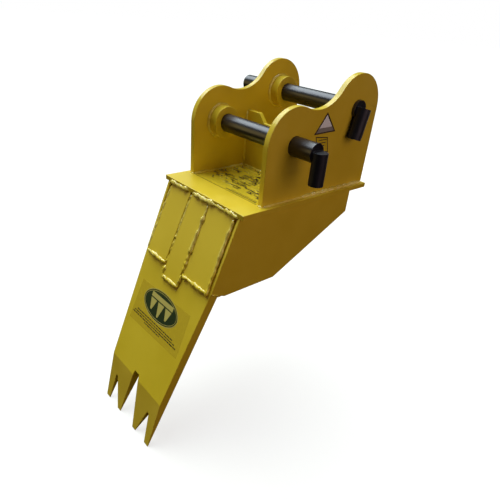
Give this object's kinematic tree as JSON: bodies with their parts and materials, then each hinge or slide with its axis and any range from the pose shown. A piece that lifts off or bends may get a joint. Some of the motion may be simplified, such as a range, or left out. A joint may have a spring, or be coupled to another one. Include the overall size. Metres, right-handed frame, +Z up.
{
  "type": "excavator ripper tooth attachment",
  "caption": "Raked ripper tooth for a small excavator: two-ear headstock with removable handled pins, closed welded box and a flat blade cut into pointed tips.",
  "frame": {"origin": "on the dipper pin's axis, midway between the two ears", "axes": "+X along the pins, towards their handles; +Y to the rear, from the dipper pin towards the link pin; +Z up, square to the base plate, so the blade points down and forward"},
  "size_m": [0.5055, 0.6982, 0.9171],
  "materials": {
    "yellow_paint": "glossy yellow paint",
    "black_pin": "satin black",
    "black_handle": "satin black"
  },
  "bodies": {
    "frame": {"base_plate": "yellow_paint", "ear_left": "yellow_paint", "ear_right": "yellow_paint", "dipper_boss_left": "yellow_paint", "dipper_boss_right": "yellow_paint", "link_boss_left": "yellow_paint", "link_boss_right": "yellow_paint", "cross_plate": "yellow_paint", "side_plate_left": "yellow_paint", "side_plate_right": "yellow_paint", "box_rear_plate": "yellow_paint", "box_belly_plate": "yellow_paint", "box_bottom_plate": "yellow_paint", "inner_rib_left": "yellow_paint", "inner_rib_right": "yellow_paint", "blade": "yellow_paint", "front_panel_left": "yellow_paint", "front_panel_right": "yellow_paint", "front_panel_centre": "yellow_paint"},
    "dipper_pin": {"dipper_pin_shaft": "black_pin"},
    "dipper_pin_grip": {"dipper_pin_handle": "black_handle"},
    "link_pin": {"link_pin_shaft": "black_pin"},
    "link_pin_grip": {"link_pin_handle": "black_handle"}
  },
  "joints": [
    {"name": "dipper_pin_slide", "type": "slide", "parent": "frame", "child": "dipper_pin", "axis": [1, 0, 0], "range_m": [-0.058, 0.36]},
    {"name": "link_pin_slide", "type": "slide", "parent": "frame", "child": "link_pin", "axis": [1, 0, 0], "range_m": [0, 0.42]},
    {"name": "dipper_pin_turn", "type": "hinge", "parent": "dipper_pin", "child": "dipper_pin_grip", "pos_m": [0.211, 0, 0], "axis": [1, 0, 0], "continuous": true},
    {"name": "link_pin_turn", "type": "hinge", "parent": "link_pin", "child": "link_pin_grip", "pos_m": [0.153, 0.21, 0.065], "axis": [1, 0, 0], "continuous": true}
  ]
}
